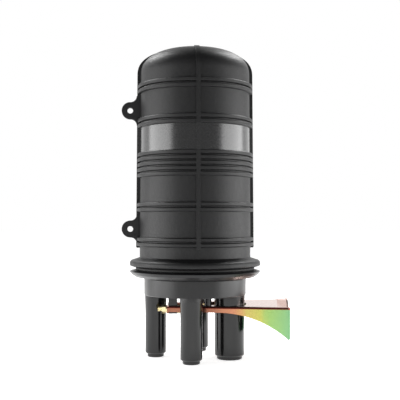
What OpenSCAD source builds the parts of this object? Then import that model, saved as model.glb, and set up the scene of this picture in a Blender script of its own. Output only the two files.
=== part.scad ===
// Dome splice closure: a ribbed dome cover over a ported base, with a seal ring between
// their flanges, splice trays on a frame inside and a folded wall bracket underneath.
// Origin: the dome axis at the middle of the seal. +X points along the wall bracket.

/* [Dome cover] */
// Outer radius of the dome wall at its foot
dome_foot_r = 72.2; // [60:0.1:90]
// How much the wall radius draws in from foot to shoulder
dome_draft = 1.7; // [0.5:0.1:4]
// Thickness of the dome wall
dome_wall = 3.2; // [2:0.1:5]
// Height where the straight wall ends and the crown starts
shoulder_z = 248.8; // [200:0.1:300]
// Rise of the crown above the shoulder
crown_rise = 35.2; // [25:0.1:60]
// Squareness of the crown, 2 is an ellipse
crown_power = 2.43; // [2:0.01:3.5]
// Height where the ribs stop and the plain collar starts
collar_z = 26.3; // [22:0.1:30]

/* [Ribs] */
// How far a ring rib stands out from the wall
ring_h = 3.6; // [1:0.1:5]
// Width of a ring rib along the axis
ring_w = 4.3; // [2:0.1:5]
// Spacing of neighbouring ring ribs
ring_pitch = 6.6; // [6:0.1:8]
// Height of the middle ring of the five-ring belt
belt_z = 132.5; // [125:0.1:140]
// From the belt to the nearest pair of rings
belt_to_pair = 54; // [50:0.1:56]
// From one pair of rings to the next
panel_pitch = 44; // [36:0.1:46]
// How far an upright fin stands out from the wall
fin_h = 4.2; // [2:0.1:6]
// Thickness of an upright fin
fin_w = 5.5; // [3:0.1:8]
// How far a fin stands proud of the crown's top
fin_crown_h = 0.6; // [0.3:0.1:3]

/* [Hanging ears] */
// Distance of an ear's hole from the dome axis
ear_x = 84; // [80:0.1:95]
// Height of the lower ear's hole
ear_low_z = 50.5; // [46:0.1:70]
// Distance between the two ears' holes
ear_spacing = 153; // [120:0.1:160]
// Outer radius of an ear
ear_r = 11; // [8:0.1:13]
// Radius of an ear's hole
ear_hole_r = 3.7; // [2:0.1:5]
// Radius of the fillet between ear and fin
ear_fillet_r = 8; // [5:0.1:12]

/* [Flanges and seal] */
// How far both flanges stand out from the dome's foot
flange_reach = 12.4; // [9:0.1:16]
// Height of the dome flange where it leaves the wall
flange_top_z = 13.7; // [12:0.1:16]
// Thickness of the seal ring
seal_t = 3; // [2:0.1:5]
// Width of the seal ring's section
seal_w = 7.4; // [5:0.1:9]
// Height of the rib on the base that holds the seal ring in place
seal_rib_h = 1; // [0.5:0.1:1.5]

/* [Base and cable ports] */
// How far the drum is set in from the dome's foot
drum_inset = 6.1; // [4:0.1:9]
// Height of the drum's lower face
drum_z = -34.1; // [-42:0.1:-31]
// Thickness of the base's walls and floor
base_wall = 3.5; // [2.5:0.1:5]
// Turn of the port pattern about the axis, from the bracket
port_turn = -8.3; // [-12:0.1:0]
// Radius of a round port where it leaves the drum
port_root_r = 14.3; // [11:0.1:16]
// Radius of a round port along its sealing length
port_r = 13.6; // [10.5:0.1:15]
// Length of a round port's true cylinder
port_seal_length = 50; // [40:0.1:60]
// Height of the ports' closed ends
port_end_z = -115.7; // [-140:0.1:-105]
// Thickness of a port's wall
port_wall = 3; // [2:0.1:4]
// Height of the saw-off cap on a port's end
cap_h = 4.6; // [3:0.1:6]
// How far the saw-off cap is stepped in
cap_inset = 2.7; // [1:0.1:4]
// Radius of the oval port's round ends
oval_r = 19.6; // [15:0.1:22]
// Length of the oval port's straight sides
oval_straight = 19.6; // [12:0.1:24]
// Draft of the oval port's radius over its length
oval_draft = 0.6; // [0.2:0.1:1]

/* [Wall bracket] */
// Thickness of the bracket's sheet
sheet_t = 2; // [1.5:0.1:3]
// Outer radius of the bracket's long bends
bend_r = 3; // [2.6:0.1:5]
// Gap between the drum's lower face and the bracket's web
web_drop = 12.5; // [10:0.1:16]
// Clearance between the bracket and the oval port
port_clear = 1.5; // [1:0.1:3]
// Widening of each side per length along the bracket
bracket_flare = 0.19; // [0.1:0.01:0.24]
// Width of the lips beside the open end
lip_w = 15; // [14.5:0.1:18]
// Depth of the side flanges at the narrow end
flange_depth = 7.9; // [6:0.1:12]
// Distance along the bracket where the side flanges start to deepen
sweep_start_x = 28; // [15:0.1:40]
// Radius of the side flanges' lower edge
sweep_r = 128; // [115:0.1:160]
// Distance of the wall plate's back from the axis
wall_x = 115.5; // [105:0.1:125]
// Depth of the wall plate below the web
plate_depth = 40.4; // [36:0.1:46]
// Height of the wall plate's lug above the web
lug_h = 9.1; // [5:0.1:14]
// Half the width of the wall plate's lug
lug_half = 39; // [30:0.1:44]
// Radius of the wall plate's bolt holes
wall_hole_r = 4.5; // [3:0.1:6]
// Distance between the wall plate's bolt holes
wall_hole_spacing = 48; // [40:0.1:54]
// Width of a strap slot in the wall plate
strap_slot_w = 5.5; // [5:0.1:7]
// Length of a strap slot in the wall plate
strap_slot_l = 26; // [18:0.1:28]
// Distance between the strap slots
strap_slot_spacing = 82; // [76:0.1:86]

/* [Bracket fixings] */
// Distance along the bracket of the clamp boss on the base
boss_x = -29.5; // [-30:0.1:-26]
// Width of the clamp boss
boss_w = 11; // [10:0.1:12]
// Depth of the clamp boss below the drum
boss_drop = 22.9; // [22:0.1:26]
// Distance along the bracket of the forward screw posts
post_x = 15; // [10:0.1:18]
// Distance along the bracket of the rear screw post
rear_post_x = -28; // [-29:0.1:-24]
// Radius of a screw post
post_r = 4.6; // [4.2:0.1:5]
// Thread radius of the bracket's bolt and screws
m6_r = 3; // [2.5:0.1:3.5]
// Width across flats of the bolt heads and nut
hex_flats = 10; // [9:0.1:11]
// Running clearance of a screw or pin in its hole
hole_clear = 0.3; // [0.2:0.05:0.5]
// Clearance between a thread and the hole it is cut in
thread_clear = 0.1; // [0.05:0.01:0.2]

/* [Frame inside] */
// Clearance between the frame plate and the base's wall
plate_clear = 1.5; // [1:0.1:4]
// Thickness of the frame plate
plate_t = 2; // [1.5:0.1:3]
// Height of the frame plate's upper face
plate_z = -6; // [-10:0.1:-5]
// Distance of the frame plate's screws from the axis
plate_screw_circle_r = 46; // [42:0.1:50]
// Thread radius of the small screws
m4_r = 2; // [1.5:0.1:2.5]
// Width of the back panel
panel_w = 80; // [70:0.1:90]
// Thickness of the back panel's sheet
panel_t = 1.5; // [1:0.1:2]
// Distance of the back panel's front face behind the axis
panel_y = 22; // [21:0.1:25]
// Depth of the back panel's side flanges
panel_flange = 12; // [8:0.1:14]
// How far the back panel stops below the dome's shoulder
panel_top_gap = 34; // [25:0.1:50]

/* [Splice trays] */
// Gap between a tray's edge and the dome's inner wall
tray_clear = 9; // [7:0.1:14]
// Thickness of a tray
tray_t = 9; // [7:0.1:9.5]
// Spacing of the trays
tray_pitch = 10.5; // [10:0.1:11]
// Thickness of a tray's floor and rim
tray_wall = 1.6; // [1.2:0.1:2]
// Corner radius of a tray
tray_corner_r = 12; // [6:0.1:16]
// Height of the trays' lower edge
tray_foot_z = 26; // [25:0.1:32]
// How far the trays stop below the back panel's top
tray_top_gap = 26; // [15:0.1:40]
// Radius of the fibre guides on a tray
guide_r = 30; // [25:0.1:34]
// Height of the trays' hinge pins
hinge_z = 19; // [17:0.1:21]
// Radius of a hinge pin
hinge_pin_r = 1.5; // [1:0.1:2]
// Width of a splice comb
comb_w = 48; // [40:0.1:54]
// Height of a splice comb
comb_h = 24; // [18:0.1:30]
// Number of splice slots in a comb
comb_slots = 12; // [6:1:14]

/* [Hidden] */
$fn = 96;

// Dome
crown_steps = 30;
dome_top_r = dome_foot_r - dome_draft;
inner_top_r = dome_top_r - dome_wall;
inner_foot_r = dome_foot_r - dome_wall - 0.3;
collar_r = dome_foot_r - 0.4;
flange_r = dome_foot_r + flange_reach;
seat_z = seal_t / 2;
seat_r = flange_r - 7.2;
function wall_r(z) = dome_foot_r - dome_draft * (z - collar_z) / (shoulder_z - collar_z);
function pair_z(k) = belt_z + sign(k) * (belt_to_pair + (abs(k) - 1) * panel_pitch);
function pair_rings(k) = [for (s = [-1, 1]) pair_z(k) + s * ring_pitch / 2];
ring_zs = concat(pair_rings(-2), pair_rings(-1), [for (i = [-2:2]) belt_z + i * ring_pitch],
    pair_rings(1), pair_rings(2));
// Quarter of a crown outline, from the shoulder up to a small flat on the axis
function crown(r, rise) = concat([for (i = [0:crown_steps - 2]) let (a = 90 * i / crown_steps)
    [r * pow(cos(a), 2 / crown_power), shoulder_z + rise * pow(sin(a), 2 / crown_power)]],
    [[r * pow(cos(90 - 90 / crown_steps), 2 / crown_power), shoulder_z + rise], [0, shoulder_z + rise]]);
function arc(x, z, r, a0, a1, n) = [for (i = [0:n]) let (a = a0 + (a1 - a0) * i / n)
    [x + r * cos(a), z + r * sin(a)]];

// Base
drum_r = dome_foot_r - drum_inset;
cup_r = drum_r - base_wall;
cup_floor_z = drum_z + base_wall;
port_circle_r = drum_r - port_root_r - 0.2;
oval_x = drum_r - oval_r - 1.3;
port_bore_r = port_r - port_wall;
oval_bore_r = oval_r - oval_draft - port_wall;
cap_chamfer = 1.2;
cylinder_end_z = port_end_z + cap_h + cap_chamfer;
cylinder_top_z = cylinder_end_z + port_seal_length;
round_port_angles = [90, 180, 270];

// Wall bracket
flare_angle = atan(bracket_flare);
web_z = drum_z - web_drop;
plate_x = wall_x - sheet_t;
oval_end_x = oval_x * cos(port_turn) + oval_straight / 2 * sin(port_turn);
oval_end_y = -oval_x * sin(port_turn) + oval_straight / 2 * cos(port_turn);
channel_y = oval_end_y + oval_r + port_clear + sheet_t / cos(flare_angle);
function channel_half(x) = channel_y + bracket_flare * (x - oval_end_x);
boss_left_x = boss_x - boss_w / 2;
boss_right_x = boss_x + boss_w / 2;
boss_y = -(channel_half(boss_left_x) - sheet_t / cos(flare_angle) - 0.5 - boss_w / 2);
boss_bolt_z = web_z - 4.8;
near_end_x = boss_left_x - sheet_t;
left_port_edge_x = -port_circle_r * cos(port_turn) + port_root_r;
far_end_x = left_port_edge_x + port_clear + 0.3;
post_to_edge = 9.2;
head_h = 4;
washer_t = 1.2;
washer_r = 5.8;
spring_t = 1.6;
nut_h = 5;
thread_end = 5;
screw_depth = 10;
hex_r = hex_flats / sqrt(3);
lip_start_x = boss_right_x + head_h + 2;
posts = [[post_x, -1], [post_x, 1], [rear_post_x, 1]];
function post_y(p) = p[1] * (channel_half(p[0]) - post_to_edge);
plate_half = channel_half(plate_x) + 0.6;
hole_z = web_z - 15.5;

// Inside
plate_r = cup_r - plate_clear;
boss_screw_angles = [45, 135, 225, 315];
frame_boss_r = 4.6;
m4_head_r = 3.8;
m4_head_h = 2.4;
panel_top_z = shoulder_z - panel_top_gap;
foot_in_x = 13;
foot_out_x = 30;
foot_depth = 10;
foot_screw_y = panel_y + panel_t + 4.5;
strap_w = 20;
strap_t = 1.2;
strap_z = (tray_foot_z + panel_top_z) / 2 - 6;
tray_count = 4;
function tray_back_y(k) = panel_y - 2 - (k - 1) * tray_pitch;
function tray_mid_y(k) = tray_back_y(k) - tray_t / 2;
stack_front = tray_t - tray_back_y(tray_count);
tray_half = sqrt(pow(inner_top_r - tray_clear, 2) - pow(stack_front, 2));
tray_top_z = panel_top_z - tray_top_gap;
tray_mid_z = (tray_foot_z + tray_top_z) / 2;
guide_dz = comb_h / 2 + 6;
guide_h = 5.5;
ear_out_x = 33;
ear_t = 3;
lug_t = 4;
knuckle_r = 3.6;
slab_z = hinge_z - 12;
slab_t = 4;
block_back_t = 2.4;
comb_t = 5;
cover_t = 1.2;
basket_gap = 2.6;
basket_d = 22;
basket_half = panel_w / 2 - panel_t - 2;
basket_low_z = 24;
basket_top_z = tray_top_z - 4;
basket_wall = 1.6;
clamp_l = 13;
clamp_w = 9;
clamp_h = 5;
clamp_r = 30;

// A slot or stadium outline, its straight part along Y
module stadium(r, straight) {
    translate([-r, -straight / 2]) square([2 * r, straight]);
    for (s = [-1, 1]) translate([0, s * straight / 2]) circle(r);
}

module round_rect(w, h, r) {
    translate([-w / 2 + r, -h / 2]) square([w - 2 * r, h]);
    translate([-w / 2, -h / 2 + r]) square([w, h - 2 * r]);
    for (x = [-1, 1], y = [-1, 1]) translate([x * (w / 2 - r), y * (h / 2 - r)]) circle(r);
}

// Raises a flat outline drawn in X and Z so that its thickness lies along Y, centred
module upright(t) {
    translate([0, t / 2, 0]) rotate([90, 0, 0]) linear_extrude(t) children();
}

module at_round_ports() {
    for (a = round_port_angles) rotate([0, 0, a + port_turn]) translate([port_circle_r, 0, 0]) children();
}

module at_oval_port() {
    rotate([0, 0, port_turn]) translate([oval_x, 0, 0]) children();
}

// ---- Dome cover ----

// Outline of one ring rib, from the wall out and back, with drafted sides and broken edges
function ring_profile(z) = let (top_r = wall_r(z) + ring_h, h = ring_w / 2, e = 0.6)
    [[wall_r(z - h - e), z - h - e], [top_r - e, z - h], [top_r, z - h + e],
    [top_r, z + h - e], [top_r - e, z + h], [wall_r(z + h + e), z + h + e]];

module dome_body() {
    rotate_extrude() polygon(concat(
        [[0, seat_z], [seat_r, seat_z]],
        arc(flange_r - 1.2, 4.6, 1.2, -75, 0, 4),
        arc(flange_r - 4.6, 6.6, 4.6, 0, 66, 8),
        [[collar_r + 0.9, flange_top_z], [collar_r, flange_top_z + 0.9], [collar_r, collar_z],
        [wall_r(collar_z), collar_z]],
        [for (z = ring_zs) each ring_profile(z)],
        crown(dome_top_r, crown_rise)));
}

function fin_side() = concat([[dome_foot_r + fin_h - 0.8, collar_z], [dome_foot_r + fin_h, collar_z + 1.5]],
    crown(dome_top_r + fin_h, crown_rise + fin_crown_h));

module fin_outline() {
    side = fin_side();
    polygon(concat(side, [for (i = [len(side) - 2:-1:0]) [-side[i][0], side[i][1]]]));
}

// One hanging ear with concave fillets, its hole at the origin and the fin on +X
module ear_outline() {
    fin_x = ear_x - wall_r(ear_low_z) - fin_h + 0.6;
    fillet_x = fin_x - ear_fillet_r;
    fillet_z = sqrt(pow(ear_r + ear_fillet_r, 2) - pow(fillet_x, 2));
    circle(ear_r);
    difference() {
        translate([fillet_x * ear_r / (ear_r + ear_fillet_r), -fillet_z])
            square([fin_x + 1.5 - fillet_x * ear_r / (ear_r + ear_fillet_r), 2 * fillet_z]);
        for (s = [-1, 1]) translate([fillet_x, s * fillet_z]) circle(ear_fillet_r);
    }
}

module dome_cavity() {
    rotate_extrude() polygon(concat([[0, seat_z - 1], [inner_foot_r, seat_z - 1], [inner_foot_r, collar_z]],
        crown(inner_top_r, crown_rise - dome_wall)));
}

module dome_cover() {
    color("#232326") difference() {
        union() {
            dome_body();
            upright(fin_w) {
                fin_outline();
                for (i = [0, 1]) translate([-ear_x, ear_low_z + i * ear_spacing]) ear_outline();
            }
            rotate([0, 0, 90]) upright(fin_w) fin_outline();
        }
        dome_cavity();
        for (i = [0, 1]) translate([-ear_x, fin_w, ear_low_z + i * ear_spacing])
            rotate([90, 0, 0]) cylinder(r = ear_hole_r, h = 2 * fin_w);
    }
}

// ---- Seal ring ----

seal_outer_r = seat_r - 0.6;
seal_inner_r = seal_outer_r - seal_w;
seal_mid_r = (seal_outer_r + seal_inner_r) / 2;
seal_groove_w = 2;

module seal_ring() {
    groove = seal_groove_w / 2 + 0.3;
    color("#151515") rotate_extrude() polygon([[seal_inner_r, -seat_z], [seal_mid_r - groove, -seat_z],
        [seal_mid_r - groove, -seat_z + seal_rib_h + 0.2], [seal_mid_r + groove, -seat_z + seal_rib_h + 0.2],
        [seal_mid_r + groove, -seat_z], [seal_outer_r - 0.5, -seat_z], [seal_outer_r, -seat_z + 0.5],
        [seal_outer_r, seat_z - 0.5], [seal_outer_r - 0.5, seat_z], [seal_inner_r, seat_z]]);
}

// ---- Base with its cable ports ----

// Outline of a port from its root inside the drum down to its stepped saw-off cap
function port_outline(root_r, r, taper_z) = [[0, drum_z + 1], [root_r, drum_z + 1], [root_r, drum_z - 1],
    [r, taper_z], [r, cylinder_end_z], [r - cap_chamfer, port_end_z + cap_h],
    [r - cap_inset, port_end_z + cap_h], [r - cap_inset, port_end_z + 0.8],
    [r - cap_inset - 0.8, port_end_z], [0, port_end_z]];
function port_bore(r) = [[0, cup_floor_z + 1], [r, cup_floor_z + 1], [r, port_end_z + cap_h + 2],
    [r - cap_inset, port_end_z + cap_h], [r - cap_inset, port_end_z + port_wall], [0, port_end_z + port_wall]];

// Sweeps a half outline round an oval: two half turns and a straight stretch between
module oval_sweep() {
    for (s = [0, 1]) translate([0, (s - 0.5) * oval_straight, 0]) rotate([0, 0, 180 * (s - 1)])
        rotate_extrude(angle = 180) children();
    upright(oval_straight) {
        children();
        mirror([1, 0]) children();
    }
}

module base_cup() {
    rotate_extrude() polygon([[0, drum_z], [drum_r - 0.8, drum_z], [drum_r, drum_z + 0.8],
        [drum_r, -13.4], [drum_r + 1.5, -12.3], [flange_r - 7, -10.6], [flange_r - 2.2, -7.2],
        [flange_r - 0.7, -5], [flange_r, -3.9], [flange_r - 0.4, -3.3], [seat_r, -seat_z],
        [seal_mid_r + seal_groove_w / 2, -seat_z], [seal_mid_r + seal_groove_w / 2, -seat_z + seal_rib_h],
        [seal_mid_r - seal_groove_w / 2, -seat_z + seal_rib_h], [seal_mid_r - seal_groove_w / 2, -seat_z],
        [cup_r, -seat_z], [cup_r, cup_floor_z], [0, cup_floor_z]]);
}

module at_plate_screws() {
    for (a = boss_screw_angles) rotate([0, 0, a + port_turn]) translate([plate_screw_circle_r, 0, 0]) children();
}

module port_base() {
    boss_floor_z = plate_z - plate_t;
    color("#1f1f22") difference() {
        union() {
            base_cup();
            at_round_ports() rotate_extrude() polygon(port_outline(port_root_r, port_r, cylinder_top_z));
            at_oval_port() oval_sweep()
                polygon(port_outline(oval_r, oval_r - oval_draft, cylinder_top_z));
            at_plate_screws() translate([0, 0, cup_floor_z - 1])
                cylinder(r = frame_boss_r, h = boss_floor_z - cup_floor_z + 1);
            translate([boss_left_x, boss_y - boss_w / 2, drum_z - boss_drop]) cube([boss_w, boss_w, boss_drop + 1]);
            for (p = posts) translate([p[0], post_y(p), web_z]) cylinder(r = post_r, h = web_drop + 1);
        }
        at_round_ports() rotate_extrude() polygon(port_bore(port_bore_r));
        at_oval_port() oval_sweep() polygon(port_bore(oval_bore_r));
        at_plate_screws() translate([0, 0, boss_floor_z - screw_depth])
            cylinder(r = m4_r + thread_clear, h = screw_depth + 1);
        translate([boss_left_x - 1, boss_y, boss_bolt_z]) rotate([0, 90, 0])
            cylinder(r = m6_r + hole_clear, h = boss_w + 2);
        for (p = posts) translate([p[0], post_y(p), web_z - 1])
            cylinder(r = m6_r + thread_clear, h = screw_depth + 2);
    }
}

// ---- Wall bracket ----

// Section of a long bend: lip to the inside, flange downwards, outer corner at the origin
module bend_section(lip, depth) {
    translate([-lip, -sheet_t]) square([lip - bend_r, sheet_t]);
    translate([-sheet_t, -depth]) square([sheet_t, depth - bend_r]);
    translate([-bend_r, -bend_r]) intersection() {
        difference() {
            circle(bend_r);
            circle(bend_r - sheet_t);
        }
        square(bend_r);
    }
}

// One side flange of the bracket with its lip, on the side s of the axis
module side_flange(s) {
    start_x = near_end_x - 5;
    mirror([0, s < 0 ? 1 : 0, 0]) translate([start_x, channel_half(start_x), web_z])
        rotate([0, 0, flare_angle]) rotate([90, 0, 90])
        linear_extrude((wall_x - start_x) / cos(flare_angle)) bend_section(bend_r + 2, plate_depth);
}

// Side view of the flanges: straight along the fingers, then sweeping down to the wall plate
module flange_side(start_x) {
    difference() {
        translate([start_x, web_z - plate_depth]) square([plate_x + sheet_t / 2 - start_x, plate_depth + 1]);
        translate([start_x - 1, web_z - plate_depth - 1])
            square([sweep_start_x - start_x + 1, plate_depth + 1 - flange_depth]);
        translate([sweep_start_x, web_z - flange_depth - sweep_r]) circle(sweep_r, $fn = 180);
    }
}

// Web and lips in one flat outline, open at the narrow end
module bracket_web() {
    outer = bend_r + 1;
    translate([0, 0, web_z - sheet_t]) linear_extrude(sheet_t)
        polygon([[near_end_x, outer - channel_half(near_end_x)], [plate_x + 1, outer - channel_half(plate_x + 1)],
            [plate_x + 1, channel_half(plate_x + 1) - outer], [far_end_x, channel_half(far_end_x) - outer],
            [far_end_x, channel_half(far_end_x) - lip_w], [oval_x, channel_half(oval_x) - lip_w],
            [oval_x, lip_w - channel_half(oval_x)], [near_end_x, lip_w - channel_half(near_end_x)]]);
}

module wall_plate() {
    difference() {
        translate([plate_x, 0, 0]) rotate([90, 0, 90]) linear_extrude(sheet_t) {
            translate([0, web_z - plate_depth / 2]) round_rect(2 * plate_half, plate_depth, 4);
            translate([-plate_half, web_z - 6]) square([2 * plate_half, 6]);
            translate([0, web_z + lug_h - 15]) round_rect(2 * lug_half, 30, 9);
        }
        for (s = [-1, 1]) translate([plate_x - 1, s * wall_hole_spacing / 2, hole_z])
            rotate([0, 90, 0]) cylinder(r = wall_hole_r, h = sheet_t + 2);
        for (s = [-1, 1]) translate([plate_x - 1, s * strap_slot_spacing / 2, hole_z])
            rotate([90, 0, 90]) linear_extrude(sheet_t + 2)
            stadium(strap_slot_w / 2, strap_slot_l - strap_slot_w);
    }
}

// The folded-in end of the near side, which the horizontal bolt clamps to the boss
module end_tab() {
    outer_y = channel_half(boss_left_x) - 1;
    translate([near_end_x, -outer_y, web_z - 9.9])
        cube([sheet_t, outer_y + boss_y + boss_w / 2, 9.9]);
}

module mount_bracket() {
    color("#a98b3f") difference() {
        union() {
            intersection() {
                side_flange(-1);
                upright(300) flange_side(near_end_x);
            }
            intersection() {
                side_flange(1);
                upright(300) flange_side(far_end_x);
            }
            bracket_web();
            wall_plate();
            end_tab();
        }
        at_oval_port() translate([0, 0, web_z - sheet_t - 0.5]) linear_extrude(sheet_t + 1)
            stadium(oval_r + port_clear - 0.1, oval_straight);
        translate([near_end_x + sheet_t, boss_y - boss_w / 2 - 0.4, web_z - sheet_t - 0.5])
            cube([lip_start_x - near_end_x - sheet_t, lip_w + 4, sheet_t + 1]);
        translate([near_end_x - 1, boss_y, boss_bolt_z]) rotate([0, 90, 0])
            cylinder(r = m6_r + hole_clear, h = sheet_t + 2);
        for (p = posts) translate([p[0], post_y(p), web_z - sheet_t - 1])
            cylinder(r = m6_r + hole_clear, h = sheet_t + 2);
    }
}

// ---- Bracket fixings ----

module ring(outer_r, inner_r, h) {
    difference() {
        cylinder(r = outer_r, h = h);
        translate([0, 0, -1]) cylinder(r = inner_r, h = h + 2);
    }
}

module hex_screw(length) {
    translate([0, 0, -1]) cylinder(r = m6_r, h = length + 1);
    translate([0, 0, -head_h]) cylinder(r = hex_r, h = head_h, $fn = 6);
}

// Bolt axis, from the head face towards the nut
module along_bolt(x) {
    translate([x, boss_y, boss_bolt_z]) rotate([0, -90, 0]) children();
}

module bracket_bolt() {
    color("#c9bd84") along_bolt(boss_right_x) hex_screw(boss_w + sheet_t + spring_t + nut_h + thread_end);
}

module spring_washer() {
    color("#b9ad78") along_bolt(near_end_x) difference() {
        ring(washer_r - 1, m6_r + thread_clear, spring_t);
        rotate([0, 0, 40]) translate([m6_r - 0.5, -0.4, -1]) cube([4, 0.8, spring_t + 2]);
    }
}

module bracket_nut() {
    color("#c9bd84") along_bolt(near_end_x - spring_t) difference() {
        cylinder(r = hex_r, h = nut_h, $fn = 6);
        translate([0, 0, -1]) cylinder(r = m6_r + thread_clear, h = nut_h + 2);
    }
}

module at_posts() {
    for (p = posts) translate([p[0], post_y(p), web_z - sheet_t]) children();
}

module bracket_screws() {
    color("#c9bd84") at_posts() translate([0, 0, -washer_t]) hex_screw(washer_t + sheet_t + screw_depth);
}

module flat_washers() {
    color("#c9bd84") at_posts() translate([0, 0, -washer_t]) ring(washer_r, m6_r + hole_clear, washer_t);
}

// ---- Frame inside ----

module frame_plate() {
    color("#9aa0a5") translate([0, 0, plate_z - plate_t]) difference() {
        cylinder(r = plate_r, h = plate_t);
        translate([0, 0, -1]) linear_extrude(plate_t + 2) {
            at_round_ports() circle(port_bore_r + 2);
            at_oval_port() stadium(oval_bore_r + 2, oval_straight);
        }
        at_plate_screws() translate([0, 0, -1]) cylinder(r = m4_r + hole_clear, h = plate_t + 2);
        for (s = [-1, 1]) translate([s * foot_screw_x, foot_screw_y, -1])
            cylinder(r = m4_r + thread_clear, h = plate_t + 2);
        at_clamps() translate([0, 0, -1]) cylinder(r = m4_r + thread_clear, h = plate_t + 2);
    }
}
foot_screw_x = (foot_in_x + foot_out_x) / 2;

// Small pan-head screw, head upwards, the face under its head at the origin
module pan_screw(length) {
    translate([0, 0, -length]) cylinder(r = m4_r, h = length);
    difference() {
        cylinder(r = m4_head_r, h = m4_head_h);
        for (a = [0, 90]) rotate([0, 0, a]) translate([-2.2, -0.4, m4_head_h - 1.2]) cube([4.4, 0.8, 2]);
    }
}

module frame_plate_screws() {
    color("#c4c8cc") at_plate_screws() translate([0, 0, plate_z]) pan_screw(plate_t + 9);
}

// Folded panel: a flat web, a flange down each side and two feet turned back at the bottom
module back_panel() {
    half = panel_w / 2;
    color("#b4b9bd") difference() {
        union() {
            translate([-half, panel_y, plate_z + 8]) cube([panel_w, panel_t, panel_top_z - plate_z - 8]);
            for (s = [-1, 1]) translate([s * (half - panel_t / 2) - panel_t / 2, panel_y, plate_z + 20])
                cube([panel_t, panel_flange, panel_top_z - plate_z - 20]);
            for (s = [-1, 1]) translate([s * foot_screw_x - (foot_out_x - foot_in_x) / 2, panel_y, plate_z]) {
                cube([foot_out_x - foot_in_x, panel_t, 10]);
                cube([foot_out_x - foot_in_x, foot_depth, panel_t]);
            }
        }
        for (s = [-1, 1]) translate([s * foot_screw_x, foot_screw_y, plate_z - 1])
            cylinder(r = m4_r + hole_clear, h = panel_t + 2);
        at_block_screws() translate([0, 0, -panel_t - 1]) cylinder(r = m4_r + hole_clear, h = panel_t + 2);
        for (s = [-1, 1]) translate([s * half - 4, panel_y + panel_t, strap_z - strap_w / 2 - 1])
            cube([8, panel_flange + 1, strap_w + 2]);
        for (z = [0, 1]) translate([0, panel_y + panel_t + 1, panel_top_z - 22 - z * 40])
            rotate([90, 0, 0]) linear_extrude(panel_t + 2) rotate(90) stadium(5, 24);
    }
}

module panel_screws() {
    color("#c4c8cc") for (s = [-1, 1]) translate([s * foot_screw_x, foot_screw_y, plate_z + panel_t])
        pan_screw(panel_t + plate_t + 4);
}

// ---- Tray hinge ----

// Screws from behind the panel, heads towards the back
module at_block_screws() {
    for (s = [-1, 1]) translate([s * 20, panel_y + panel_t, hinge_z + 1]) rotate([-90, 0, 0]) children();
}

module hinge_ear(k) {
    difference() {
        rotate([90, 0, 90]) linear_extrude(ear_t) {
            translate([tray_mid_y(k), hinge_z]) circle(knuckle_r);
            translate([tray_mid_y(k) - knuckle_r, slab_z + 1]) square([2 * knuckle_r, hinge_z - slab_z - 1]);
        }
        translate([-1, tray_mid_y(k), hinge_z]) rotate([0, 90, 0])
            cylinder(r = hinge_pin_r + thread_clear, h = ear_t + 2);
    }
}

module hinge_block() {
    front_y = tray_mid_y(tray_count) - knuckle_r;
    color("#3b4148") difference() {
        union() {
            translate([-ear_out_x - 1, front_y, slab_z]) cube([2 * ear_out_x + 2, panel_y - front_y, slab_t]);
            translate([-ear_out_x + 7, panel_y - block_back_t, slab_z])
                cube([2 * ear_out_x - 14, block_back_t, hinge_z - slab_z + 6]);
            for (k = [1:tray_count], s = [0, 1]) mirror([s, 0, 0]) translate([ear_out_x - ear_t, 0, 0]) hinge_ear(k);
        }
        at_block_screws() translate([0, 0, -panel_t - block_back_t - 1])
            cylinder(r = m4_r + thread_clear, h = block_back_t + 2);
    }
}

module hinge_block_screws() {
    color("#c4c8cc") at_block_screws() pan_screw(panel_t + block_back_t + 1);
}

module hinge_pin(k) {
    color("#c4c8cc") translate([-ear_out_x - 0.5, tray_mid_y(k), hinge_z]) rotate([0, 90, 0])
        cylinder(r = hinge_pin_r, h = 2 * ear_out_x + 1);
}

// ---- Splice trays ----

tray_w = 2 * tray_half;
tray_h = tray_top_z - tray_foot_z;

// Moves a flat thing drawn in X and Y to tray k: Y becomes height, thickness faces the front
module on_tray(k, lift) {
    translate([0, tray_back_y(k) - lift, tray_mid_z]) rotate([90, 0, 0]) children();
}

module fibre_guide(s) {
    translate([0, s * guide_dz]) intersection() {
        difference() {
            circle(guide_r);
            circle(guide_r - tray_wall);
        }
        translate([-guide_r - 1, s < 0 ? -guide_r - 1 : 0]) square([2 * guide_r + 2, guide_r + 1]);
    }
}

module splice_tray(k) {
    rim = tray_t - tray_wall;
    color("#d9dcdf") difference() {
        union() {
            on_tray(k, 0) {
                linear_extrude(tray_wall) round_rect(tray_w, tray_h, tray_corner_r);
                translate([0, 0, tray_wall]) linear_extrude(rim) difference() {
                    round_rect(tray_w, tray_h, tray_corner_r);
                    round_rect(tray_w - 2 * tray_wall, tray_h - 2 * tray_wall, tray_corner_r - tray_wall);
                }
                translate([0, 0, tray_wall]) linear_extrude(guide_h) for (s = [-1, 1]) fibre_guide(s);
                for (x = [-1, 1], y = [-1, 1]) translate([x * (tray_half - 4) - 3, y * tray_h / 4 - 5, tray_t - 1.2])
                    cube([6, 10, 1.2]);
                for (y = [-1, 1]) translate([-5, y * (tray_h / 2 - 4) - 3, tray_t - 1.2]) cube([10, 6, 1.2]);
            }
            for (s = [-1, 1]) translate([s * (ear_out_x - ear_t - 0.5 - lug_t / 2) - lug_t / 2, 0, 0]) tray_lug(k);
        }
        for (s = [-1, 1]) translate([s * (tray_half - 20) - 5, tray_back_y(k) - tray_t - 1, tray_foot_z - 1])
            cube([10, rim + 1, tray_wall + 2]);
        translate([-ear_out_x, tray_mid_y(k), hinge_z]) rotate([0, 90, 0])
            cylinder(r = hinge_pin_r + hole_clear, h = 2 * ear_out_x);
    }
}

module tray_lug(k) {
    rotate([90, 0, 90]) linear_extrude(lug_t) {
        translate([tray_mid_y(k), hinge_z]) circle(knuckle_r);
        translate([tray_mid_y(k) - knuckle_r, hinge_z]) square([2 * knuckle_r, tray_foot_z - hinge_z + 1]);
    }
}

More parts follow.
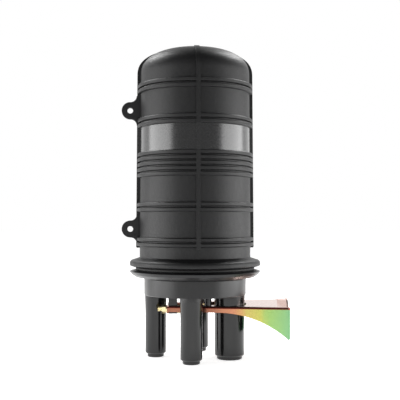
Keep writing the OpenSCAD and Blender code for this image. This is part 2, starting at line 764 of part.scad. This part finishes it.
module splice_comb(k) {
    slot = 2;
    pitch = comb_w / comb_slots;
    color("#e9e9ea") on_tray(k, tray_wall) difference() {
        translate([-comb_w / 2, -comb_h / 2, 0]) cube([comb_w, comb_h, comb_t]);
        for (i = [0:comb_slots - 1]) translate([(i + 0.5) * pitch - comb_w / 2 - slot / 2, -comb_h / 2 - 1, 1.6])
            cube([slot, comb_h + 2, comb_t]);
    }
}

module tray_cover() {
    color("#cfe3ea", 0.4) on_tray(tray_count, tray_t) linear_extrude(cover_t) difference() {
        round_rect(tray_w, tray_h, tray_corner_r);
        translate([0, tray_h / 2 + 6]) circle(14);
    }
}

// Outline of the band round the trays and behind the panel, at a gap g from them
function band(g) = let (front = -stack_front - cover_t - 0.4 - g, side = tray_half + 0.4 + g,
    back = panel_y + panel_t + 0.4 + g, edge = panel_w / 2 + 0.6 + g, corner = tray_back_y(1) + 0.6 + g)
    [[-side, front], [side, front], [side, corner], [edge, back], [-edge, back], [-side, corner]];

module tray_strap() {
    color("#17181a") translate([0, 0, strap_z - strap_w / 2]) linear_extrude(strap_w) difference() {
        polygon(band(strap_t));
        polygon(band(0));
    }
}

// ---- Slack storage basket behind the panel ----

module storage_basket() {
    back_y = panel_y + panel_t + basket_gap;
    mid_z = (basket_low_z + basket_top_z) / 2;
    h = basket_top_z - basket_low_z;
    w = 2 * basket_half;
    color("#3b4148") translate([0, back_y, mid_z]) rotate([-90, 0, 0]) difference() {
        union() {
            linear_extrude(basket_wall) round_rect(w, h, 8);
            translate([0, 0, basket_wall]) linear_extrude(basket_d - basket_wall) difference() {
                round_rect(w, h, 8);
                round_rect(w - 2 * basket_wall, h - 2 * basket_wall, 8 - basket_wall);
            }
            for (x = [-1, 1], y = [-1, 1]) translate([x * (basket_half - 12), y * (h / 2 - 12), -basket_gap])
                cylinder(r = 4, h = basket_gap + 1);
            for (x = [-1, 1], y = [-1, 0, 1]) translate([x * (basket_half - 4) - 4, y * h / 3 - 6, basket_d - 1.4])
                cube([8, 12, 1.4]);
        }
        for (y = [-1, 1]) translate([0, y * h / 4, -1]) linear_extrude(basket_wall + 2) rotate(90) stadium(6, 26);
    }
}

// ---- Strength-member clamps on the frame plate ----

clamp_angles = [0, 90, 180, 270];

module at_clamp(i) {
    a = clamp_angles[i];
    r = a == 0 ? oval_x - oval_bore_r - 2 - clamp_l / 2 - 1 : clamp_r;
    rotate([0, 0, a + port_turn]) translate([r, 0, 0]) children();
}

module at_clamps() {
    for (i = [0:3]) at_clamp(i) children();
}

module strength_clamp(i) {
    color("#b4b9bd") at_clamp(i) translate([0, 0, plate_z]) difference() {
        translate([-clamp_l / 2, -clamp_w / 2, 0]) cube([clamp_l, clamp_w, clamp_h]);
        translate([-clamp_l / 2 - 1, -clamp_w / 2 - 1, -1]) cube([clamp_l + 2, 3, 3.2]);
        translate([0, 0, -1]) cylinder(r = m4_r + hole_clear, h = clamp_h + 2);
    }
}

module clamp_screws() {
    color("#c4c8cc") at_clamps() translate([0, 0, plate_z + clamp_h]) pan_screw(clamp_h + plate_t + 3);
}

dome_cover();
seal_ring();
port_base();
mount_bracket();
bracket_bolt();
spring_washer();
bracket_nut();
bracket_screws();
flat_washers();
frame_plate();
frame_plate_screws();
back_panel();
panel_screws();
hinge_block();
hinge_block_screws();
splice_tray(1);  // splice_tray_1
splice_tray(2);  // splice_tray_2
splice_tray(3);  // splice_tray_3
splice_tray(4);  // splice_tray_4
hinge_pin(1);  // hinge_pin_1
hinge_pin(2);  // hinge_pin_2
hinge_pin(3);  // hinge_pin_3
hinge_pin(4);  // hinge_pin_4
splice_comb(1);  // splice_comb_1
splice_comb(2);  // splice_comb_2
splice_comb(3);  // splice_comb_3
splice_comb(4);  // splice_comb_4
tray_cover();
tray_strap();
storage_basket();
strength_clamp(0);  // strength_clamp_1
strength_clamp(1);  // strength_clamp_2
strength_clamp(2);  // strength_clamp_3
strength_clamp(3);  // strength_clamp_4
clamp_screws();
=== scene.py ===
import math

import bmesh
import bpy
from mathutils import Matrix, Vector


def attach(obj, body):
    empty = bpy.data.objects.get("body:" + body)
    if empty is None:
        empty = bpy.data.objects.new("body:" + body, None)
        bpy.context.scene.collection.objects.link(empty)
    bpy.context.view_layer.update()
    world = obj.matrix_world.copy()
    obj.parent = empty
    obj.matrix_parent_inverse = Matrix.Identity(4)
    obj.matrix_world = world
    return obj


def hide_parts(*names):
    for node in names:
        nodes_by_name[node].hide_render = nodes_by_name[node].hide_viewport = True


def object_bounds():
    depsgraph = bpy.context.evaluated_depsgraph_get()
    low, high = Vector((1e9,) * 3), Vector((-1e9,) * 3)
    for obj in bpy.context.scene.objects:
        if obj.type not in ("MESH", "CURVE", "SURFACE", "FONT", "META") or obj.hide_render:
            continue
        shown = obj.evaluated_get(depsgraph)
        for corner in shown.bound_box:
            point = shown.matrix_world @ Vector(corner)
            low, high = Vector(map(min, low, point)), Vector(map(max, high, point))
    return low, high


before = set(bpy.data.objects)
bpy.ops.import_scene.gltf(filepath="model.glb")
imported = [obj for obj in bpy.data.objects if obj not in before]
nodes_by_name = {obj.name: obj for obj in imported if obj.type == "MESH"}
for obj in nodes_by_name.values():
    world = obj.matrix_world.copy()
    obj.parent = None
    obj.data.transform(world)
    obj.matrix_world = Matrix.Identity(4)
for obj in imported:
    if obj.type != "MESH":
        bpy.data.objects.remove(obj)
cad_low, cad_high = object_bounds()
MM = 0.001


# ---- Camera ----

CAMERA_AZIMUTH = math.radians(-3.3)
CAMERA_DISTANCE = 1.037
CAMERA_HEIGHT = 0.0650
CAMERA_LENS = 71.7
CAMERA_SHIFT = (0.0125, 0.0445)
SENSOR_WIDTH = 36


def make_camera():
    data = bpy.data.cameras.new("camera")
    data.lens = CAMERA_LENS
    data.sensor_width = SENSOR_WIDTH
    data.shift_x, data.shift_y = CAMERA_SHIFT
    camera = bpy.data.objects.new("camera", data)
    camera.location = (
        CAMERA_DISTANCE * math.sin(CAMERA_AZIMUTH),
        -CAMERA_DISTANCE * math.cos(CAMERA_AZIMUTH),
        CAMERA_HEIGHT,
    )
    camera.rotation_euler = (math.pi / 2, 0, CAMERA_AZIMUTH)
    bpy.context.scene.collection.objects.link(camera)
    bpy.context.scene.camera = camera


# ---- Studio ----

FLOOR_HALF = 9.0
FLOOR_GLOW = 0.75

# Brightness of the room in front of the closure, behind it and, as a share, overhead
ROOM_FRONT, ROOM_BACK, ROOM_TOP = 0.35, 1.0, 0.35

# Softboxes: place on the right (mirrored to the left), width and height, power in watts
SIDE_PLACE, SIDE_SIZE, SIDE_POWER = (1.35, -0.22, 0.16), (1.5, 0.62), 12
TOP_PLACE, TOP_SIZE, TOP_POWER = (0.75, 0.75, 1.25), (0.5, 0.5), 12
SOFTBOX_AIM = Vector((0, 0, 0.1))


def make_floor():
    mesh = bpy.data.meshes.new("floor")
    bm = bmesh.new()
    bmesh.ops.create_grid(bm, x_segments=1, y_segments=1, size=FLOOR_HALF)
    bmesh.ops.translate(bm, verts=bm.verts, vec=(0, 0, cad_low[2]))
    bm.to_mesh(mesh)
    bm.free()
    floor = bpy.data.objects.new("floor", mesh)
    bpy.context.scene.collection.objects.link(floor)
    pale = Material("floor_pale")
    pale.set("Base Color", (0.93, 0.93, 0.925, 1))
    pale.set("Roughness", 0.9)
    pale.set("Specular IOR Level", 0.0)
    pale.set("Emission Color", (1, 1, 1, 1))
    pale.set("Emission Strength", FLOOR_GLOW)
    mesh.materials.append(pale.material)


def softbox(name, side, place, size, power):
    """A softbox on one side (-1 left, 1 right) that faces the middle of the closure."""
    data = bpy.data.lights.new(name, "AREA")
    data.shape = "RECTANGLE"
    data.size, data.size_y = size
    data.energy = power
    light = bpy.data.objects.new(name, data)
    light.location = (side * place[0], place[1], place[2])
    light.rotation_euler = (SOFTBOX_AIM - light.location).to_track_quat("-Z", "Y").to_euler()
    light.visible_camera = False
    bpy.context.scene.collection.objects.link(light)


def soft_step(tree, value, low, high, at_low, at_high):
    """A smooth change from at_low to at_high while value goes from low to high."""
    step = tree.nodes.new("ShaderNodeMapRange")
    step.interpolation_type = "SMOOTHSTEP"
    names = ("From Min", "From Max", "To Min", "To Max")
    for socket, number in zip(names, (low, high, at_low, at_high)):
        step.inputs[socket].default_value = number
    tree.links.new(value, step.inputs["Value"])
    return step.outputs[0]


def make_studio():
    """White behind the closure, dimmer in front and overhead, and a softbox pair on each side."""
    world = bpy.data.worlds.new("studio")
    world.use_nodes = True
    tree = world.node_tree
    tree.nodes.clear()
    link = tree.links.new
    output = tree.nodes.new("ShaderNodeOutputWorld")
    room = tree.nodes.new("ShaderNodeBackground")
    backdrop = tree.nodes.new("ShaderNodeBackground")
    choose = tree.nodes.new("ShaderNodeMixShader")
    rays = tree.nodes.new("ShaderNodeLightPath")
    where = tree.nodes.new("ShaderNodeTexCoord")
    direction = tree.nodes.new("ShaderNodeSeparateXYZ")
    level = tree.nodes.new("ShaderNodeMath")
    level.operation = "MULTIPLY"
    backdrop.inputs["Strength"].default_value = 1.0
    backdrop.inputs["Color"].default_value = (1, 1, 1, 1)
    room.inputs["Color"].default_value = (1, 1, 1, 1)
    link(where.outputs["Generated"], direction.inputs[0])
    to_back = soft_step(tree, direction.outputs["Y"], -0.3, 0.7, ROOM_FRONT, ROOM_BACK)
    to_top = soft_step(tree, direction.outputs["Z"], 0.35, 0.85, 1.0, ROOM_TOP)
    link(to_back, level.inputs[0])
    link(to_top, level.inputs[1])
    link(level.outputs[0], room.inputs["Strength"])
    link(rays.outputs["Is Camera Ray"], choose.inputs[0])
    link(room.outputs[0], choose.inputs[1])
    link(backdrop.outputs[0], choose.inputs[2])
    link(choose.outputs[0], output.inputs[0])
    bpy.context.scene.world = world
    bpy.context.scene.view_settings.view_transform = "Standard"
    for side in (-1, 1):
        softbox(f"side_softbox_{side + 2}", side, SIDE_PLACE, SIDE_SIZE, SIDE_POWER)
        softbox(f"top_softbox_{side + 2}", side, TOP_PLACE, TOP_SIZE, TOP_POWER)


# ---- Finishes ----

THREAD_PITCH = 1.0 * MM
WEAVE_PITCH = 1.1 * MM

# Heights on the dome: the smooth band between the second ring pair and the belt
BAND_LOW, BAND_HIGH, BAND_FADE = 147.8 * MM, 180.6 * MM, 0.6 * MM

# Where the base's sheen goes from the ports' to the drum's
PORT_TOP, DRUM_LOW = -40 * MM, -36 * MM

# The bracket's film along X from the mouth to the plate; the heights of the bend, where shade is
# painted, and of the web, which gets a painted highlight
FILM_START, FILM_END = 15 * MM, 118 * MM
BEND_LOW, BEND_HIGH = -49.9 * MM, -49.3 * MM
WEB_LOW, WEB_HIGH = -47.8 * MM, -46.9 * MM


class Material:
    """A node material with a few short ways to add a pattern."""

    def __init__(self, name):
        self.material = bpy.data.materials.new(name)
        self.material.use_nodes = True
        self.nodes = self.material.node_tree.nodes
        self.links = self.material.node_tree.links
        self.shader = self.nodes["Principled BSDF"]
        self.where = self.nodes.new("ShaderNodeTexCoord").outputs["Object"]

    def set(self, socket, value):
        self.shader.inputs[socket].default_value = value

    def feed(self, source, socket):
        self.links.new(source, self.shader.inputs[socket])

    def node(self, kind, **inputs):
        made = self.nodes.new(kind)
        for key, value in inputs.items():
            socket = made.inputs[key.replace("_", " ")]
            if hasattr(value, "is_linked"):
                self.links.new(value, socket)
            else:
                socket.default_value = value
        return made

    def stretched(self, scale):
        return self.node("ShaderNodeMapping", Vector=self.where, Scale=scale).outputs[0]

    def noise(self, scale, detail=3, where=None):
        made = self.node(
            "ShaderNodeTexNoise",
            Vector=where or self.where,
            Scale=scale,
            Detail=detail,
        )
        return made.outputs["Fac"]

    def remap(self, value, low, high, to_low, to_high, smooth=False):
        made = self.node(
            "ShaderNodeMapRange",
            Value=value,
            From_Min=low,
            From_Max=high,
            To_Min=to_low,
            To_Max=to_high,
        )
        if smooth:
            made.interpolation_type = "SMOOTHSTEP"
        return made.outputs[0]

    def vary(self, noise, low, high):
        """Spread a noise, which mostly lies between 0.3 and 0.7, over low to high."""
        return self.remap(noise, 0.3, 0.7, low, high)

    def maths(self, operation, a, b=0):
        made = self.nodes.new("ShaderNodeMath")
        made.operation = operation
        for socket, value in zip(made.inputs, (a, b)):
            if hasattr(value, "is_linked"):
                self.links.new(value, socket)
            else:
                socket.default_value = value
        return made.outputs[0]

    def axis(self, letter):
        return self.node("ShaderNodeSeparateXYZ", Vector=self.where).outputs[letter]

    def ramp(self, value, stops):
        made = self.nodes.new("ShaderNodeValToRGB")
        self.links.new(value, made.inputs[0])
        band = made.color_ramp
        while len(band.elements) < len(stops):
            band.elements.new(0.5)
        for element, (place, colour) in zip(band.elements, stops):
            element.position = place
            element.color = (*colour, 1)
        return made.outputs[0]

    def mix(self, share, a, b):
        made = self.nodes.new("ShaderNodeMix")
        made.data_type = "RGBA"
        self.links.new(share, made.inputs[0])
        for socket, colour in ((made.inputs[6], a), (made.inputs[7], b)):
            if hasattr(colour, "is_linked"):
                self.links.new(colour, socket)
            else:
                socket.default_value = (*colour, 1)
        return made.outputs[2]

    def blend(self, share, a, b):
        """The number a where share is 0, and b where it is 1."""
        made = self.nodes.new("ShaderNodeMix")
        for socket, value in zip(made.inputs[:4], (share, None, a, b)):
            if value is not None:
                self.links.new(value, socket)
        return made.outputs[0]

    def bump(self, height, strength, distance):
        made = self.node("ShaderNodeBump", Height=height, Strength=strength, Distance=distance)
        self.feed(made.outputs[0], "Normal")


BLACK, BLACK_PALE = (0.003, 0.003, 0.0033), (0.006, 0.006, 0.0065)


def dome_plastic():
    """Fine-grained black, with one band of the dome left polished."""
    m = Material("dome_plastic")
    z = m.axis("Z")
    band = m.maths(
        "MULTIPLY",
        m.remap(z, BAND_LOW, BAND_LOW + BAND_FADE, 0, 1, True),
        m.remap(z, BAND_HIGH - BAND_FADE, BAND_HIGH, 1, 0, True),
    )
    grain = m.noise(850, 2)
    coarse = m.noise(240, 3)
    m.feed(m.mix(m.vary(coarse, 0, 1), BLACK, BLACK_PALE), "Base Color")
    m.set("Specular IOR Level", 0.42)
    m.feed(band, "Coat Weight")
    m.set("Coat Roughness", 0.22)
    plain = m.vary(grain, 0.40, 0.56)
    polished = m.vary(grain, 0.18, 0.32)
    m.feed(m.blend(band, plain, polished), "Roughness")
    m.bump(m.maths("ADD", grain, m.maths("MULTIPLY", coarse, 0.4)), 0.35, 0.4 * MM)
    return m.material


def base_plastic():
    """Black, glossier on the ports than on the drum, with faint upright draw marks."""
    m = Material("base_plastic")
    z = m.axis("Z")
    fine = m.noise(900, 2)
    drawn = m.noise(90, 3, m.stretched((1, 1, 0.12)))
    m.feed(m.mix(m.vary(drawn, 0, 1), BLACK, BLACK_PALE), "Base Color")
    on_drum = m.remap(z, PORT_TOP, DRUM_LOW, 0.15, 0.30)
    m.feed(m.maths("ADD", on_drum, m.vary(drawn, -0.03, 0.05)), "Roughness")
    m.bump(fine, 0.08, 0.2 * MM)
    return m.material


def seal_rubber():
    m = Material("seal_rubber")
    fine = m.noise(1200, 2)
    m.feed(m.mix(fine, (0.004, 0.004, 0.004), (0.010, 0.010, 0.010)), "Base Color")
    m.feed(m.vary(fine, 0.55, 0.75), "Roughness")
    m.bump(fine, 0.2, 0.2 * MM)
    return m.material


def zinc_sheet():
    """Yellow passivated zinc: the film's colour drifts from copper through yellow to green, with
    painted shade in the bend and a painted highlight on the web above it.
    """
    m = Material("zinc_sheet")
    m.set("Metallic", 1.0)
    drift = m.noise(18, 3, m.stretched((1.6, 1.6, 1.0)))
    along = m.remap(m.axis("X"), FILM_START, FILM_END, 0, 1)
    place = m.maths("ADD", along, m.vary(drift, -0.07, 0.07))
    film = m.ramp(place, [
        (0.00, (0.26, 0.11, 0.07)), (0.28, (0.48, 0.21, 0.12)), (0.40, (0.50, 0.30, 0.12)),
        (0.47, (0.48, 0.40, 0.12)), (0.66, (0.44, 0.44, 0.11)), (0.76, (0.28, 0.44, 0.14)),
        (1.00, (0.18, 0.40, 0.22)),
    ])
    z = m.axis("Z")
    bend_shade_share = m.remap(z, BEND_LOW, BEND_HIGH, 0, 1, True)
    web_highlight_share = m.remap(z, WEB_LOW, WEB_HIGH, 0, 1, True)
    # The bend is painted dark copper-red as painted shade, and the web above it pale pink as a
    # painted highlight; both replace the film's tint there.
    bend_painted_shade, web_painted_highlight = (0.34, 0.07, 0.05), (0.78, 0.58, 0.52)
    m.feed(m.mix(web_highlight_share, m.mix(bend_shade_share, film, bend_painted_shade), web_painted_highlight), "Base Color")
    m.feed(m.vary(m.noise(400, 3), 0.15, 0.24), "Roughness")
    m.bump(m.noise(700, 3, m.stretched((0.1, 1, 1))), 0.05, 0.1 * MM)
    return m.material


def zinc_fixings(name="zinc_fixings", thread_axis=None):
    """Pale yellow zinc, with a rolled thread where thread_axis names the screw's own axis."""
    m = Material(name)
    m.set("Metallic", 1.0)
    tint = m.noise(160, 3)
    film = [(0.3, (0.80, 0.64, 0.32)), (0.5, (0.86, 0.75, 0.44)), (0.7, (0.74, 0.68, 0.44))]
    m.feed(m.ramp(tint, film), "Base Color")
    m.feed(m.vary(m.noise(900, 2), 0.20, 0.32), "Roughness")
    if thread_axis:
        turns = m.maths("MULTIPLY", m.axis(thread_axis), 2 * math.pi / THREAD_PITCH)
        m.bump(m.maths("SINE", turns), 1.0, 0.3 * MM)
    else:
        m.bump(m.noise(1500, 2), 0.05, 0.1 * MM)
    return m.material


def brushed(name, dark, light, low, high, lay):
    m = Material(name)
    m.set("Metallic", 1.0)
    lines = m.noise(600, 3, m.stretched(lay))
    m.feed(m.mix(lines, dark, light), "Base Color")
    m.feed(m.vary(lines, low, high), "Roughness")
    m.bump(lines, 0.05, 0.1 * MM)
    return m.material


def moulded(name, dark, light, low, high):
    m = Material(name)
    fine = m.noise(900, 2)
    m.feed(m.mix(m.noise(70, 3), dark, light), "Base Color")
    m.feed(m.vary(fine, low, high), "Roughness")
    m.bump(fine, 0.08, 0.2 * MM)
    return m.material


def clear_cover():
    m = Material("clear_cover")
    m.feed(m.mix(m.noise(60, 2), (0.72, 0.80, 0.82), (0.80, 0.86, 0.88)), "Base Color")
    m.feed(m.vary(m.noise(500, 2), 0.08, 0.16), "Roughness")
    m.set("Alpha", 0.35)
    return m.material


def strap_fabric():
    """Woven band: crossed yarns, with loose loops between them, and painted shade in the hollows of
    the weave.
    """
    m = Material("strap_fabric")
    m.set("Roughness", 0.85)
    pull = 2 * math.pi / WEAVE_PITCH
    along = m.maths("SINE", m.maths("MULTIPLY", m.maths("ADD", m.axis("X"), m.axis("Y")), pull))
    across = m.maths("SINE", m.maths("MULTIPLY", m.axis("Z"), pull))
    weave = m.maths("MULTIPLY", along, across)
    loops = m.noise(1400, 2)
    height = m.maths("ADD", weave, loops)
    # The colour follows the weave's height: painted shade in the hollows, painted light on the
    # raised yarns.
    weave_light_and_shade = m.remap(height, -0.6, 1.6, 0, 1)
    m.feed(m.mix(weave_light_and_shade, (0.010, 0.010, 0.011), (0.050, 0.050, 0.053)), "Base Color")
    m.bump(height, 0.8, 0.4 * MM)
    return m.material


def finish_nodes(fabric):
    """Give every CAD node its finish."""
    frame_steel = brushed(
        "frame_steel", (0.44, 0.45, 0.46), (0.58, 0.59, 0.60), 0.28, 0.42, (0.05, 1, 1)
    )
    screw_steel = brushed(
        "screw_steel", (0.55, 0.56, 0.57), (0.72, 0.73, 0.74), 0.20, 0.32, (1, 1, 1)
    )
    block = moulded(
        "block_plastic", (0.035, 0.042, 0.050), (0.050, 0.058, 0.068), 0.38, 0.52
    )
    tray = moulded("tray_plastic", (0.66, 0.68, 0.69), (0.74, 0.76, 0.77), 0.32, 0.46)
    comb = moulded("comb_plastic", (0.80, 0.80, 0.79), (0.86, 0.86, 0.85), 0.40, 0.55)
    black, zinc = base_plastic(), zinc_fixings()
    size = nodes_by_name["bracket_bolt"].dimensions
    bolt_axis = "XYZ"[max(range(3), key=lambda index: size[index])]
    finishes = {
        "dome_cover": dome_plastic(), "seal_ring": seal_rubber(), "port_base": black,
        "mount_bracket": zinc_sheet(), "spring_washer": zinc,
        "bracket_bolt": zinc_fixings("zinc_thread", bolt_axis),
        "bracket_nut": zinc, "bracket_screws": zinc, "flat_washers": zinc,
        "frame_plate": frame_steel, "back_panel": frame_steel, "hinge_block": block,
        "storage_basket": block, "tray_cover": clear_cover(), "tray_strap": fabric,
    }
    for name, piece in nodes_by_name.items():
        if name.startswith("splice_tray"):
            finish = tray
        elif name.startswith("splice_comb"):
            finish = comb
        elif name.startswith("strength_clamp"):
            finish = frame_steel
        else:
            finish = finishes.get(name, screw_steel)
        for slot in piece.material_slots:
            slot.material = finish


# ---- Strap ----

STRAP_EDGE = 0.35 * MM
SHARP_ANGLE = 0.3
LAP_START, LAP_LENGTH = -30 * MM, 46 * MM
LAP_WIDTH, LAP_THICK, LAP_CORNER = 19 * MM, 1.1 * MM, 6 * MM
# How far the lap's back is pressed into the band
LAP_PRESS = 0.1 * MM


def soften(bm, radius):
    """Round every real edge, and leave the flat seams between coplanar faces."""
    sharp = [edge for edge in bm.edges if edge.is_manifold and edge.calc_face_angle() > SHARP_ANGLE]
    bmesh.ops.bevel(
        bm, geom=sharp, affect="EDGES", offset=radius, segments=2, profile=0.5, material=-1,
        clamp_overlap=True,
    )


def make_strap(fabric):
    """A band round the trays, with its hooked end lapped over the front."""
    pattern = nodes_by_name["tray_strap"]
    bm = bmesh.new()
    bm.from_mesh(pattern.data)
    bmesh.ops.transform(bm, matrix=pattern.matrix_world, verts=bm.verts)
    bmesh.ops.remove_doubles(bm, verts=bm.verts, dist=0.01 * MM)
    front = min(vert.co.y for vert in bm.verts)
    middle_z = sum(vert.co.z for vert in bm.verts) / len(bm.verts)
    soften(bm, STRAP_EDGE)
    lap = bmesh.new()
    bmesh.ops.create_cube(lap, size=1)
    bmesh.ops.scale(lap, vec=(LAP_LENGTH, LAP_THICK, LAP_WIDTH), verts=lap.verts)
    centre = (LAP_START + LAP_LENGTH / 2, front - LAP_THICK / 2 + LAP_PRESS, middle_z)
    bmesh.ops.translate(lap, vec=centre, verts=lap.verts)
    free_end = [
        edge for edge in lap.edges
        if abs(edge.verts[0].co.y - edge.verts[1].co.y) > LAP_THICK / 2
        and edge.verts[0].co.x > centre[0]
    ]
    bmesh.ops.bevel(
        lap, geom=free_end, affect="EDGES", offset=LAP_CORNER, segments=6, profile=0.5, material=-1,
    )
    soften(lap, STRAP_EDGE)
    lap_mesh = bpy.data.meshes.new("lap")
    lap.to_mesh(lap_mesh)
    lap.free()
    bm.from_mesh(lap_mesh)
    bpy.data.meshes.remove(lap_mesh)
    bmesh.ops.recalc_face_normals(bm, faces=bm.faces)
    mesh = bpy.data.meshes.new("hook_and_loop_strap")
    bm.to_mesh(mesh)
    bm.free()
    mesh.materials.clear()
    mesh.materials.append(fabric)
    strap = bpy.data.objects.new("hook_and_loop_strap", mesh)
    bpy.context.scene.collection.objects.link(strap)
    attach(strap, "base")
    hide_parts("tray_strap")


make_camera()
make_floor()
make_studio()
strap_finish = strap_fabric()
make_strap(strap_finish)
finish_nodes(strap_finish)
